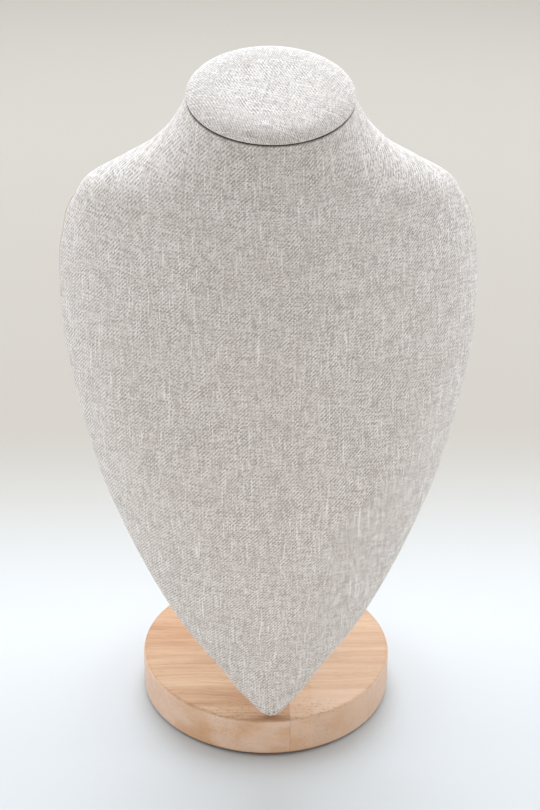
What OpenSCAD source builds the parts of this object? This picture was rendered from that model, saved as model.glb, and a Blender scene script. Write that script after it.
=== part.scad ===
// Necklace display bust: a linen-covered chest and neck form on a round wooden base.
// Frame: z = 0 is the table, the post stands on the Z axis, and the chest faces -Y.

/* [Base] */
// Diameter of the wooden base
base_d = 120; // [110:1:140]
// Thickness of the wooden base
base_t = 19.4; // [18:0.2:24]
// Radius of the eased edges of the base
base_ease = 2; // [1:0.5:3]
// Thickness of the felt disc under the base
felt_t = 1; // [0.8:0.2:2]
// How far the felt disc stays inside the edge of the base
felt_inset = 3; // [2:1:8]

/* [Post] */
// Outer diameter of the steel post
post_d = 12; // [11:0.5:13]
// Wall thickness of the post tube
post_wall = 1.2; // [1:0.1:1.6]
// Height of the post's top end above the table
post_top = 152; // [150:1:153]
// Height of the stop collar
collar_h = 8; // [6:1:10]

/* [Form] */
// Gap between the tip of the chest and the top of the base
tip_gap = 1.6; // [1:0.2:4]
// Distance of the tip in front of the post axis
tip_reach = 56; // [55:0.5:58]
// Angle at which the flat back leans away from upright
lean = 19.5; // [19:0.25:20]
// Height of the form from its tip to the back of the neck
form_h = 281.5; // [280:0.5:284]
// Forward tilt of the top of the neck
neck_tilt = 25; // [22:1:27]
// Wall thickness of the moulded form
wall_t = 3; // [2.5:0.5:4]

/* [Covering] */
// Thickness of the linen
linen_t = 0.8; // [0.6:0.1:1.2]
// Thickness of the foam skin between the form and the linen
foam_t = 1.7; // [1.5:0.1:2.5]
// Width of the linen hem that is turned in behind the rim
hem_w = 14; // [10:1:16]
// Thickness of the card-backed sheet that closes the back
back_cover_t = 1.2; // [1:0.1:1.6]
// Thickness of the board inside the rim
board_t = 4; // [3:0.5:4]

/* [Neck cap] */
// Half-width of the cap
cap_a = 36.2; // [34:0.1:37]
// Half-depth of the cap
cap_b = 30.3; // [29:0.1:32]
// Height of the padded cap
cap_h = 6; // [5.8:0.1:9]

/* [Socket] */
// Width of the wooden socket block
block_w = 36; // [34:1:44]
// Height of the socket block
block_h = 58; // [50:1:58]
// Height of the block's underside above the table
block_z = 88; // [86:1:90]
// Distance of the block's rear face behind the post axis
block_rear = 18; // [17:0.5:22]
// Height of the clamp screw above the table
clamp_z = 124; // [116:1:130]
// Diameter of the clamp knob
knob_d = 20; // [16:1:26]

/* [Hidden] */
$fn = 96;

eps = 0.05;                        // running clearance on a radius
gap = 0.3;                         // space between pieces that move past each other
base_top = felt_t + base_t;
tip_z = base_top + tip_gap;
post_r = post_d / 2;
bore_r = post_r - post_wall;
post_foot = base_top + 0.9;        // the post stands on a thin washer
sleeve_wall = 1.45;
sleeve_r = post_r + eps + sleeve_wall;
screw_r = 3;                       // base screw, M6
head_h = 3.5;
counterbore_z = 8.5;
clamp_r = 2.5;                     // clamp screw, M5
insert_r = 4;
wood_screw_r = 2;

// Half-width of the form at each height above its tip.
width_points = [
    [0, 0], [8, 11.7], [24, 25.6], [50, 46.5], [80, 63.6], [110, 77], [140, 86], [170, 92],
    [200, 92.9], [213, 90.6], [225, 90], [235, 87.8], [244, 75.7], [252, 61.4], [259, 52],
    [265, 45.7], [271, 41.3], [277, 38], [284, 35.6]
];
squared_widths = [for (p = width_points) [p[0], p[1] * p[1]]];
// Depth of the neck part in front of the leaning back.
depth_points = [[200, 44.5], [213, 45.5], [228, 47.1], [248, 49.7], [268, 55.6], [284, 59.8]];
crease_h = 213;                    // height of the crease ellipse's centre
crease_a = 86;                     // its half-width
crease_b = 117;                    // its half-height
rim_wall = 2;                      // square edge of the form before it rolls forward
neck_wrap = 155;                   // how far round the neck's oval the form reaches
top_wrap = 12;                     // how much further it reaches at the neck's top
across = 25;                       // points from rim to rim
hem_clear = 0.9;                   // room for the hem behind the form's rim
cap_back = 0.6;                    // how far the cap reaches over the back's top edge

function slope(p, i) = let(a = max(i - 1, 0), b = min(i + 1, len(p) - 1))
    (p[b][1] - p[a][1]) / (p[b][0] - p[a][0]);
function span(p, x, i = 0) = i >= len(p) - 2 || x < p[i + 1][0] ? i : span(p, x, i + 1);
function curve(p, x) = let(i = span(p, x), w = p[i + 1][0] - p[i][0], t = (x - p[i][0]) / w)
    (2*t*t*t - 3*t*t + 1) * p[i][1] + (t*t*t - 2*t*t + t) * w * slope(p, i)
    + (3*t*t - 2*t*t*t) * p[i + 1][1] + (t*t*t - t*t) * w * slope(p, i + 1);
function clamp01(x) = min(1, max(0, x));
function ease(x) = let(t = clamp01(x)) t * t * (3 - 2 * t);
function mix(a, b, t) = a + (b - a) * t;

function half_width(h) = sqrt(max(0, curve(squared_widths, h)));
function rim_cosine(h) = let(s = half_width(h + 1) - half_width(max(h - 1, 0)))
    2 / sqrt(4 + s * s);
function neck_share(h) = ease((h - 213) / 62);
function tilt(h) = neck_tilt * ease((h - 203) / (form_h - 203));
function wrap_at(h) = neck_wrap + top_wrap * ease((h - 255) / 26);

// 0 on the centre line and 1 at the rim, rounded so that no ridge runs down the middle.
function soft_share(r) = (sqrt(r * r + 0.09) - 0.3) / (sqrt(1.09) - 0.3);
// Depth of the chest in front of the back: a shallow dome inside the crease, and an
// apron that falls from the crease to the rim.
function chest_depth(h, u) = let(
        dome = 38 + 0.068 * (h - 96) - max(10, 13 + 0.171 * (h - 96)) * pow(u / crease_a, 2),
        q = sqrt(pow(u / crease_a, 2) + pow(max(0, crease_h - h) / crease_b, 2)),
        outside = (q - 1) * 100,
        to_crease = (outside + sqrt(outside * outside + 36)) / 2 + 4,
        w = half_width(h),
        to_rim = max(0, w * (1 - soft_share(abs(u) / w))) * rim_cosine(h),
        power = 0.5 + 0.3 * clamp01((q - 1) / 0.6))
    rim_wall + dome * pow(to_rim / (to_rim + to_crease), power);
function neck_depth(h, s) = let(a = wrap_at(h))
    curve(depth_points, h) * (cos(a * s) - cos(a)) / (1 - cos(a));
function surface_depth(h, s) = mix(chest_depth(h, half_width(h) * sin(90 * s)),
    neck_depth(h, s), neck_share(h));
function surface_u(h, s) = half_width(h)
    * mix(sin(90 * s), sin(wrap_at(h) * s), neck_share(h));

function rim_u(h, inset) = surface_u(h, 1) * (1 - inset / half_width(h));
// One arc from rim to rim, set in by "inset" and starting "rise" in front of the back.
// A raised rim point is set in a little more, which keeps it inside the skin around it.
function arc(h, inset, rise) = let(ku = 1 - inset / half_width(h),
        kd = 1 - inset / surface_depth(h, 0))
    [for (i = [0 : across - 1]) let(s = 2 * i / (across - 1) - 1) abs(s) == 1
        ? [s * rim_u(h, inset + 0.3 * rise), rise]
        : [surface_u(h, s) * ku, surface_depth(h, s) * kd]];
function back_y(h) = h * tan(lean) - tip_reach;
function place(h, p) = [p[0], back_y(h) - p[1] * cos(tilt(h)), tip_z + h - p[1] * sin(tilt(h))];
// Heights of the rings: close together at the rounded tip and over the shoulders.
function levels(h0, h1) = let(steps = [1.5, 4, 8, 14, 22, 32, each [44 : 13 : 200],
        210, 219, 227, each [234 : 5 : 279]])
    concat([h0], [for (h = steps) if (h > h0 + 0.5 && h < h1 - 0.5) h], [h1]);
function reversed(v) = [for (i = [len(v) - 1 : -1 : 0]) v[i]];

// A closed skin between two arcs, with an optional lip turned in at the back.
module wrap(outer, inner, rise, h0, lip = 0) {
    hs = levels(h0, form_h);
    function lip_points(h) = let(u = rim_u(h, inner), w = min(lip, 0.6 * u))
        lip > 0 ? [[u - w, 0], [u - w, rise]] : [];
    function ring(h) = let(right = lip_points(h), left = [for (p = reversed(right)) [-p[0], p[1]]])
        concat(arc(h, outer, lip > 0 ? 0 : rise), right, reversed(arc(h, inner, rise)), left);
    n = len(ring(h0));
    m = lip > 0 ? 2 : 0;
    last = (len(hs) - 1) * n;
    function partner(i) = n - 1 - m - i;
    lip_cap = m == 0 ? [] : [
        [across - 1, across, across + 1, across + 2],
        [0, n - 3, n - 2, n - 1]];
    strips = concat([for (i = [0 : across - 2]) [i, i + 1, partner(i + 1), partner(i)]], lip_cap);
    points = [for (h = hs) each [for (p = ring(h)) place(h, p)]];
    // Facing skins split their quads along the same diagonals, so they don't cross.
    sides = [for (j = [0 : len(hs) - 2], i = [0 : n - 1]) let(k = (i + 1) % n, b = j * n)
        each i % (n / 2) < (across - 1) / 2
            ? [[b + i, b + k, b + n + k], [b + i, b + n + k, b + n + i]]
            : [[b + i, b + k, b + n + i], [b + k, b + n + k, b + n + i]]];
    caps = [for (f = strips) each [for (k = [1 : len(f) - 2]) [f[0], f[k + 1], f[k]]]];
    lids = [for (f = caps) [for (i = reversed(f)) i + last]];
    polyhedron(points, [for (f = concat(sides, caps, lids)) reversed(f)], convexity = 8);
}

// Outline of the flat back between two heights, inset from the rim.
function back_outline(h0, h1, inset) = let(hs = levels(h0, h1),
        right = [for (h = hs) [rim_u(h, inset), h / cos(lean)]])
    concat(right, [for (p = reversed(right)) if (p[0] > 0) [-p[0], p[1]]]);
// Stands a drawing on the leaning back; its z then points forward and up.
module on_back(w = 0) {
    translate([0, -tip_reach, tip_z]) rotate([90 - lean, 0, 0]) translate([0, 0, w]) children();
}
// Centre of the neck's top, on the plane of the seam under the cap.
module on_neck(up = 0) {
    translate([0, back_y(form_h), tip_z + form_h]) rotate([neck_tilt, 0, 0])
        translate([0, cap_back - cap_b, up]) children();
}
function oval_points(a, b, n = 60) = [for (i = [0 : n - 1]) [a * cos(360 * i / n), b * sin(360 * i / n)]];
// A solid of stacked oval rings, each given as how far it is set in and its height.
module oval_stack(profile) {
    n = 60;
    points = [for (p = profile) each [for (q = oval_points(cap_a - p[0], cap_b - p[0], n))
        [q[0], q[1], p[1]]]];
    sides = [for (j = [0 : len(profile) - 2], i = [0 : n - 1]) let(k = (i + 1) % n, b = j * n)
        each [[b + i, b + n + k, b + k], [b + i, b + n + i, b + n + k]]];
    last = (len(profile) - 1) * n;
    ends = [[for (i = [0 : n - 1]) i], [for (i = [n - 1 : -1 : 0]) last + i]];
    polyhedron(points, concat(sides, ends), convexity = 6);
}
module ring(outer_r, inner_r, h) {
    difference() {
        cylinder(r = outer_r, h = h);
        translate([0, 0, -1]) cylinder(r = inner_r, h = h + 2);
    }
}
module up(z) { translate([0, 0, z]) children(); }

module wood_base() {
    r = base_d / 2;
    bend = [for (a = [0 : 18 : 90]) [r - base_ease + base_ease * cos(a),
        base_t - base_ease + base_ease * sin(a)]];
    edge = concat([for (p = reversed(bend)) [p[0], base_t - p[1]]], bend);
    color("burlywood") up(felt_t) difference() {
        rotate_extrude($fn = 180) polygon(concat([[0, 0]], edge, [[0, base_t]]));
        up(-1) cylinder(r = screw_r + gap, h = base_t + 2);
        up(-1) cylinder(r = 11, h = counterbore_z - felt_t + 1);
    }
}
module base_felt() { color("sienna") cylinder(r = base_d / 2 - felt_inset, h = felt_t); }
module base_washer() {
    color("silver") up(counterbore_z - 1.5) ring(9, screw_r + gap, 1.5);
}
module post_washer() {
    color("white") up(base_top) ring(9, screw_r + gap, post_foot - base_top - 0.1);
}

module support_post() { color("silver") up(post_foot) ring(post_r, bore_r, post_top - post_foot); }
module post_plug() { color("gray") up(post_foot) ring(bore_r - eps, screw_r + eps, 20); }
module base_screw() {
    color("dimgray") up(counterbore_z - 1.6) {
        cylinder(r = screw_r, h = 28);
        up(-head_h) difference() {
            cylinder(r = 5.5, h = head_h);
            up(-1) cylinder(r = 2.3, h = 3, $fn = 6);
        }
    }
}
module post_cap() {
    color("dimgray") up(post_top) {
        cylinder(r = post_r, h = 2);
        up(-8) cylinder(r = bore_r - eps, h = 8);
    }
}
collar_z = block_z - gap - collar_h;
module stop_collar() {
    color("silver") up(collar_z) difference() {
        ring(post_r + 6, post_r + eps, collar_h);
        translate([0, 0, collar_h / 2]) rotate([-90, 0, 0]) cylinder(r = wood_screw_r + eps, h = 20);
    }
}
module collar_screw() {
    color("dimgray") translate([0, post_r + 2 * eps, collar_z + collar_h / 2]) rotate([-90, 0, 0])
        difference() {
            cylinder(r = wood_screw_r, h = 5);
            up(3) cylinder(r = 1.1, h = 3, $fn = 6);
        }
}

// The foam and the form each start on one of the linen's rings, so that the skins nest.
module linen_cover() { color("lightgray") wrap(0, linen_t, linen_t, 0.6, hem_w); }
module foam_skin() {
    color("lightyellow") wrap(linen_t + 0.1, linen_t + foam_t, hem_clear + linen_t, 8);
}
form_inset = linen_t + foam_t + 0.1;
module form_shell() { color("beige") wrap(form_inset, form_inset + wall_t, hem_clear + linen_t, 14); }

board_inset = form_inset + wall_t + 5;
board_low = 52;
screw_spots = [for (x = [-12.5, 12.5], h = [86, 112]) [x, h]];
module on_screw_spots(w) {
    on_back(w) for (p = screw_spots) translate([p[0], p[1], 0]) children();
}
module back_board() {
    color("peru") difference() {
        on_back(1.6) linear_extrude(board_t) polygon(back_outline(board_low, form_h - 14, board_inset));
        on_screw_spots(0) cylinder(r = wood_screw_r + eps, h = 20);
    }
}
module back_cover() {
    color("ivory") difference() {
        on_back(-back_cover_t) linear_extrude(back_cover_t - 0.1)
            polygon(back_outline(0.6, form_h, 0));
        on_screw_spots(-10) cylinder(r = wood_screw_r + eps, h = 20);
    }
}
// Staples through the hem into the board, evenly spaced by height on both sides.
module staple() {
    translate([-0.3, -5, 0.95]) cube([0.6, 10, 0.5]);
    for (y = [-5, 4.4]) translate([-0.3, y, 1.45]) cube([0.6, 0.6, 0.1]);
}
staple_inset = board_inset + 3.5;
module cover_staples() {
    color("silver") on_back() for (h = [60 : 16 : 236], side = [-1, 1]) {
        lean_in = atan2(rim_u(h + 1, staple_inset) - rim_u(h - 1, staple_inset), 2);
        translate([side * rim_u(h, staple_inset), h / cos(lean), 0]) rotate(-side * lean_in) staple();
    }
}

plug_t = 5;
plug_inset = form_inset + wall_t + 1;
dowel_x = 16;
module neck_plug() {
    color("peru") on_neck(-plug_t - 0.2) difference() {
        linear_extrude(plug_t) intersection() {
            polygon(oval_points(cap_a - plug_inset, cap_b - plug_inset));
            translate([-50, -50]) square([100, 50 + cap_b - 12]);
        }
        for (x = [-dowel_x, dowel_x]) translate([x, 0, -1]) cylinder(r = 3 + eps, h = plug_t + 2);
    }
}
module cap_dowels() {
    color("burlywood") on_neck(-plug_t) for (x = [-dowel_x, dowel_x]) translate([x, 0, 0])
        cylinder(r = 3, h = plug_t + 2);
}
module cap_board() {
    color("peru") on_neck(0.2) difference() {
        linear_extrude(3) polygon(oval_points(cap_a - 1.6, cap_b - 1.6));
        for (x = [-dowel_x, dowel_x]) translate([x, 0, -1]) cylinder(r = 3 + eps, h = 2.9);
    }
}
module cap_pad() {
    top = cap_h - linen_t - 0.1;
    color("lightyellow") on_neck() oval_stack([[1.6, 3.3], [1.6, 3.8], [2.2, top - 0.7],
        [3.4, top - 0.2], [6, top]]);
}
module cap_cover() {
    top = cap_h - linen_t;
    color("lightgray") on_neck() oval_stack([
        [6, cap_h], [2.8, cap_h - 0.4], [1.1, cap_h - 1.3], [0.2, cap_h - 2.7], [0, 2], [0.3, 0.2],
        [1.5, 0.2], [1.5, 3.8], [2, top - 0.8], [3.2, top - 0.2], [6, top]]);
}

clamp_front = post_r + gap;
module block_profile() {
    behind = (back_cover_t + 0.05) / cos(lean);
    low = back_y(block_z - tip_z) + behind;
    high = back_y(block_z + block_h - tip_z) + behind;
    polygon([[low, 0], [block_rear, 0], [block_rear, block_h], [high, block_h]]);
}
module socket_block() {
    color("burlywood") difference() {
        translate([-block_w / 2, 0, block_z]) rotate([90, 0, 90]) linear_extrude(block_w)
            block_profile();
        up(block_z - 1) cylinder(r = sleeve_r + eps, h = block_h + 2);
        translate([0, 0, clamp_z]) rotate([-90, 0, 0]) cylinder(r = insert_r + eps, h = 30);
        on_screw_spots(-21) cylinder(r = wood_screw_r + eps, h = 30);
    }
}
module socket_sleeve() {
    color("silver") difference() {
        up(block_z) ring(sleeve_r, post_r + eps, block_h);
        translate([0, 0, clamp_z]) rotate([-90, 0, 0]) cylinder(r = clamp_r + gap, h = 30);
    }
}
module clamp_insert() {
    color("goldenrod") translate([0, sleeve_r + 0.5, clamp_z]) rotate([-90, 0, 0])
        ring(insert_r, clamp_r + eps, block_rear - sleeve_r - 0.5);
}
module block_screws() {
    head = 1.6 + board_t + 0.05;
    color("gray") {
        on_screw_spots(-20) cylinder(r = wood_screw_r, h = 20 + head);
        on_screw_spots(head) difference() {
            cylinder(r = 4, h = 2.4);
            for (a = [0, 90]) rotate(a) translate([-2, -0.5, 1.4]) cube([4, 1, 2]);
        }
    }
}
module clamp_screw() {
    color("silver") translate([0, clamp_front, clamp_z]) rotate([-90, 0, 0])
        cylinder(r = clamp_r, h = block_rear + 12 - clamp_front);
}
module clamp_knob() {
    lobes = 6;
    color("dimgray") translate([0, block_rear + 2, clamp_z]) rotate([-90, 0, 0]) difference() {
        union() {
            cylinder(r = knob_d / 2 - 2.5, h = 12);
            for (i = [0 : lobes - 1]) rotate(i * 360 / lobes) translate([knob_d / 2 - 3, 0, 1])
                cylinder(r = 3, h = 9);
        }
        up(-1) cylinder(r = clamp_r + eps, h = 11);
    }
}

wood_base();
base_felt();
base_washer();
post_washer();
support_post();
post_plug();
base_screw();
post_cap();
stop_collar();
collar_screw();
form_shell();
foam_skin();
linen_cover();
back_board();
back_cover();
cover_staples();
neck_plug();
cap_dowels();
cap_board();
cap_pad();
cap_cover();
socket_block();
socket_sleeve();
clamp_insert();
block_screws();
clamp_screw();
clamp_knob();
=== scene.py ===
import bmesh
import bpy
import math
import numpy as np
from mathutils import Euler, Matrix, Vector


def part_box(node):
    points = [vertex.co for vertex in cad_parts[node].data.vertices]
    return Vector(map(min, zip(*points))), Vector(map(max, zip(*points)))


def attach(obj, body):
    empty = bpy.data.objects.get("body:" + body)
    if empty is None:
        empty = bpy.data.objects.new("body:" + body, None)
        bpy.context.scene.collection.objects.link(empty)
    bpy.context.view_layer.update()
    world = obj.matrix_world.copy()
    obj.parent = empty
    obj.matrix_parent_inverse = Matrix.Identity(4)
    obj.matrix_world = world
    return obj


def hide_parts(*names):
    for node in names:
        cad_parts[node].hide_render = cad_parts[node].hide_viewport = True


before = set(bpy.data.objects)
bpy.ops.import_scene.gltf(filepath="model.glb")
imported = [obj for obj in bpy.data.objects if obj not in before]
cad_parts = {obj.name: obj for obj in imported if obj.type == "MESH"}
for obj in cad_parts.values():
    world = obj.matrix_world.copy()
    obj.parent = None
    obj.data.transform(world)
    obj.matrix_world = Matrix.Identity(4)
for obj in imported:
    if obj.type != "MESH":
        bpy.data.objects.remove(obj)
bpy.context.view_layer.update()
mm = 0.001
print("frame loaded:", len(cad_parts), "nodes")


# shader helpers

class Wire:  # one socket of a shader tree, with the operators that the materials use
    def __init__(self, tree, socket):
        self.tree, self.socket = tree, socket

    def math(self, operation, first, second=None):
        values = {0: first} if second is None else {0: first, 1: second}
        return self.tree.add("ShaderNodeMath", {"operation": operation}, values)

    def __add__(self, other):
        return self.math("ADD", self, other)

    def __radd__(self, other):
        return self.math("ADD", other, self)

    def __sub__(self, other):
        return self.math("SUBTRACT", self, other)

    def __rsub__(self, other):
        return self.math("SUBTRACT", other, self)

    def __mul__(self, other):
        return self.math("MULTIPLY", self, other)

    def __truediv__(self, other):
        return self.math("DIVIDE", self, other)

    def __mod__(self, other):
        return self.math("FLOORED_MODULO", self, other)

    def __lt__(self, other):
        return self.math("LESS_THAN", self, other)

    def __gt__(self, other):
        return self.math("GREATER_THAN", self, other)

    def __abs__(self):
        return self.math("ABSOLUTE", self)

    def floor(self):
        return self.math("FLOOR", self)

    def sine(self):
        return self.math("SINE", self)

    def root(self):
        return self.math("SQRT", self)

    def within(self, low, high):  # 0 below low, 1 above high, eased between
        return self.tree.add("ShaderNodeMapRange", {"interpolation_type": "SMOOTHSTEP"},
                             {"Value": self, "From Min": low, "From Max": high})


class Finish:  # one material and its node tree
    def __init__(self, name):
        self.material = bpy.data.materials.new(name)
        self.material.use_nodes = True
        self.nodes = self.material.node_tree.nodes
        self.links = self.material.node_tree.links
        self.shader = self.nodes["Principled BSDF"]

    def add(self, kind, settings=None, values=None, output=0):
        node = self.nodes.new(kind)
        for key, value in (settings or {}).items():
            if key == "stops":
                ramp = node.color_ramp
                while len(ramp.elements) < len(value):
                    ramp.elements.new(0.5)
                for stop, (place, colour) in zip(ramp.elements, value):
                    stop.position, stop.color = place, (*colour, 1)
            else:
                setattr(node, key, value)
        for key, value in (values or {}).items():
            self.feed(node.inputs[key], value)
        return Wire(self, node.outputs[output])

    def feed(self, socket, value):
        if isinstance(value, Wire):
            self.links.new(value.socket, socket)
        elif isinstance(value, (tuple, list)) and len(value) == 3 and len(socket.default_value) == 4:
            socket.default_value = (*value, 1)
        else:
            socket.default_value = value

    def place(self):
        return self.add("ShaderNodeTexCoord", output="Object")

    def cloth(self):
        return self.add("ShaderNodeUVMap", {"uv_map": "cloth"})

    def attribute(self, name):
        return self.add("ShaderNodeAttribute", {"attribute_name": name}, output="Fac")

    def split(self, vector):
        parts = self.add("ShaderNodeSeparateXYZ", values={0: vector}).socket.node
        return [Wire(self, parts.outputs[k]) for k in range(3)]

    def join(self, x=0.0, y=0.0, z=0.0):
        return self.add("ShaderNodeCombineXYZ", values={0: x, 1: y, 2: z})

    def scaled(self, vector, scale, turn=(0, 0, 0), move=(0, 0, 0)):
        return self.add("ShaderNodeMapping", values={"Vector": vector, "Scale": scale, "Rotation": turn,
                                                     "Location": move})

    def noise(self, vector, scale=1.0, detail=2.0, rough=0.5, warp=0.0):
        return self.add("ShaderNodeTexNoise", values={"Vector": vector, "Scale": scale, "Detail": detail,
                                                      "Roughness": rough, "Distortion": warp})

    def mix(self, factor, first, second):
        return self.add("ShaderNodeMix", {"data_type": "RGBA"}, {0: factor, 6: first, 7: second}, output=2)

    def ramp(self, value, stops):
        return self.add("ShaderNodeValToRGB", {"stops": stops}, {0: value})

    def bump(self, height, strength, distance, under=None):
        values = {"Height": height, "Strength": strength, "Distance": distance}
        if under:
            values["Normal"] = under
        return self.add("ShaderNodeBump", values=values)

    def set(self, **values):
        for key, value in values.items():
            self.feed(self.shader.inputs[key.replace("_", " ")], value)
        return self.material


# mesh helpers

def makePiece(name, points, faces, material, smoothAngle=40.0):
    mesh = bpy.data.meshes.new(name)
    mesh.from_pydata([tuple(p) for p in points], [], [tuple(f) for f in faces])
    mesh.validate()
    return finishMesh(name, mesh, material, smoothAngle)


def finishMesh(name, mesh, material, smoothAngle=40.0):
    work = bmesh.new()
    work.from_mesh(mesh)
    bmesh.ops.recalc_face_normals(work, faces=work.faces)
    work.to_mesh(mesh)
    work.free()
    mesh.shade_smooth()
    mesh.set_sharp_from_angle(angle=math.radians(smoothAngle))
    piece = bpy.data.objects.new(name, mesh)
    bpy.context.scene.collection.objects.link(piece)
    mesh.materials.clear()
    mesh.materials.append(material)
    return piece


def giveValues(piece, name, values):
    layer = piece.data.attributes.new(name, "FLOAT", "POINT")
    layer.data.foreach_set("value", np.asarray(values, np.float32))


def giveCloth(piece, places):  # one UV place for each vertex
    layer = piece.data.uv_layers.new(name="cloth")
    at = np.zeros(len(piece.data.loops), np.int32)
    piece.data.loops.foreach_get("vertex_index", at)
    layer.data.foreach_set("uv", np.asarray(places, np.float32)[at].ravel())


def tubeFaces(rows, around):  # faces between closed rings of points
    faces = []
    for j in range(rows - 1):
        for i in range(around):
            k, b = (i + 1) % around, j * around
            faces.append((b + i, b + k, b + around + k, b + around + i))
    return faces


def eased(outline, radius, steps=4):  # an outline with its corners rounded
    done, n = [], len(outline)
    for i in range(n):
        before, here, after = (Vector(outline[k % n]) for k in (i - 1, i, i + 1))
        r = radius[i] if isinstance(radius, (list, tuple)) else radius
        a, b = (before - here), (after - here)
        r = min(r, a.length * 0.45, b.length * 0.45)
        if r < 1e-7:
            done.append(here)
            continue
        start, end = here + a.normalized() * r, here + b.normalized() * r
        for s in range(steps + 1):
            t = s / steps
            done.append(start * (1 - t) ** 2 + here * 2 * t * (1 - t) + end * t * t)
    return done


def turned(name, outline, material, axis="Z", at=(0, 0, 0), segments=96, smoothAngle=50.0, wave=None):
    # outline: (radius, height) pairs of a closed loop, spun round an axis
    points, faces, n = [], [], len(outline)
    for s in range(segments):
        angle = 2 * math.pi * s / segments
        for r, h in outline:
            grow = wave(angle, r, h) if wave else 1.0
            x, y, z = r * grow * math.cos(angle), r * grow * math.sin(angle), h
            if axis == "Y":
                x, y, z = x, h, r * grow * math.sin(angle)
            points.append((x + at[0], y + at[1], z + at[2]))
    for s in range(segments):
        a, b = s * n, (s + 1) % segments * n
        for i in range(n):
            k = (i + 1) % n
            faces.append((a + i, b + i, b + k, a + k))
    mesh = bpy.data.meshes.new(name)
    mesh.from_pydata(points, [], faces)
    work = bmesh.new()
    work.from_mesh(mesh)
    bmesh.ops.remove_doubles(work, verts=work.verts, dist=1e-6)
    bmesh.ops.dissolve_degenerate(work, edges=work.edges, dist=1e-7)
    work.to_mesh(mesh)
    work.free()
    return finishMesh(name, mesh, material, smoothAngle)


def refined(node, name, material, ease, steps=2, sharpAngle=30.0):
    # a CAD node's shape again, with its sharp edges eased
    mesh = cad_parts[node].data.copy()
    work = bmesh.new()
    work.from_mesh(mesh)
    bmesh.ops.remove_doubles(work, verts=work.verts, dist=2e-6)
    bmesh.ops.dissolve_limit(work, angle_limit=math.radians(0.8), verts=work.verts, edges=work.edges)
    sharp = [e for e in work.edges if e.is_manifold and e.calc_face_angle() > math.radians(sharpAngle)]
    bmesh.ops.bevel(work, geom=sharp, offset=ease, segments=steps, profile=0.5, affect="EDGES",
                    clamp_overlap=True)
    bmesh.ops.triangulate(work, faces=[f for f in work.faces if len(f.verts) > 4])
    work.to_mesh(mesh)
    work.free()
    return finishMesh(name, mesh, material, 35.0)


# finishes

def linenFinish(name, turn=0.0, marks=()):
    look = {"yarn": 0.41 * mm, "pale": (0.92, 0.90, 0.88), "middle": (0.655, 0.608, 0.562),
            "deep": (0.34, 0.30, 0.272), "fleck": (0.25, 0.16, 0.09), "seam": (0.055, 0.03, 0.022),
            "wash": (0.66, 0.60, 0.54), "pinHole": (0.02, 0.014, 0.012), "drift": 2.4 * mm}
    f = Finish(name)
    flat = f.scaled(f.cloth(), (1, 1, 1), (0, 0, turn))
    wander = f.noise(flat, 55.0, 2.0)
    wanderAcross = f.noise(f.scaled(flat, (1, 1, 1), move=(0.7, 0.3, 0)), 48.0, 2.0)
    across, along, _ = f.split(flat)
    x = (across + (wander - 0.5) * look["drift"]) / look["yarn"]
    y = (along + (wanderAcross - 0.5) * look["drift"]) / look["yarn"]
    warp, weft = x.floor(), y.floor()
    over = (warp - weft) % 4 < 2  # a two-and-two twill
    warpRound, weftRound = ((x - warp) * math.pi).sine(), ((y - weft) * math.pi).sine()
    # yarns differ from one to the next and change slowly along their length
    warpTone = f.noise(f.join(warp * 1.37, y * 0.085, 0.4), 1.0, 1.0).within(0.28, 0.72)
    weftTone = f.noise(f.join(x * 0.13, weft * 1.37, 7.6), 1.0, 1.0).within(0.28, 0.72)
    slub = f.noise(f.join(warp * 1.13, y * 0.022, 3.3), 1.0, 1.0).within(0.63, 0.74)
    thinPlace = f.noise(f.join(x * 0.03, weft * 1.13, 11.7), 1.0, 1.0).within(0.66, 0.76)
    broad = f.noise(flat, 22.0, 2.0)
    speck = f.noise(f.scaled(flat, (1.0, 0.5, 1)), 1150.0, 1.0)
    height = f.add("ShaderNodeMix", {"data_type": "FLOAT"}, {0: over, 2: weftRound * 0.75, 3: warpRound})
    tone = f.add("ShaderNodeMix", {"data_type": "FLOAT"},
                 {0: over, 2: weftTone * 0.66 + 0.04, 3: warpTone * 0.62 + 0.32})
    # the height term is painted shade: yarn crowns lighter, the hollows between yarns darker
    colour = f.ramp(tone * 0.96 - 0.05 + (height - 0.6) * 0.24 + slub * 0.34 - thinPlace * 0.14,
                    [(0.02, look["deep"]), (0.46, look["middle"]), (0.98, look["pale"])])
    colour = f.mix(speck.within(0.70, 0.77) * 0.75, colour, look["fleck"])
    colour = f.mix(broad.within(0.3, 0.7) * 0.14, colour, look["wash"])
    # painted shade: the linen turns near black where it folds into the groove under the cap
    colour = f.mix(f.attribute("seamShade"), colour, look["seam"])
    for mark in marks:  # small dark holes left where the cloth was pinned
        far = f.add("ShaderNodeVectorMath", {"operation": "DISTANCE"},
                    {0: f.place(), 1: Vector(mark[:3]) * mm}, output="Value")
        colour = f.mix((1 - far.within(0.25 * mm, 0.62 * mm)) * mark[3], colour, look["pinHole"])
    relief = f.bump(height, 0.55, 0.10 * mm)
    relief = f.bump(warpTone + weftTone, 0.35, 0.10 * mm, relief)
    f.set(Sheen_Weight=0.12, Sheen_Roughness=0.45, Sheen_Tint=(0.97, 0.96, 0.95), IOR=1.4)
    return f.set(Base_Color=colour, Roughness=0.84 - height * 0.08, Normal=relief)


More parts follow.
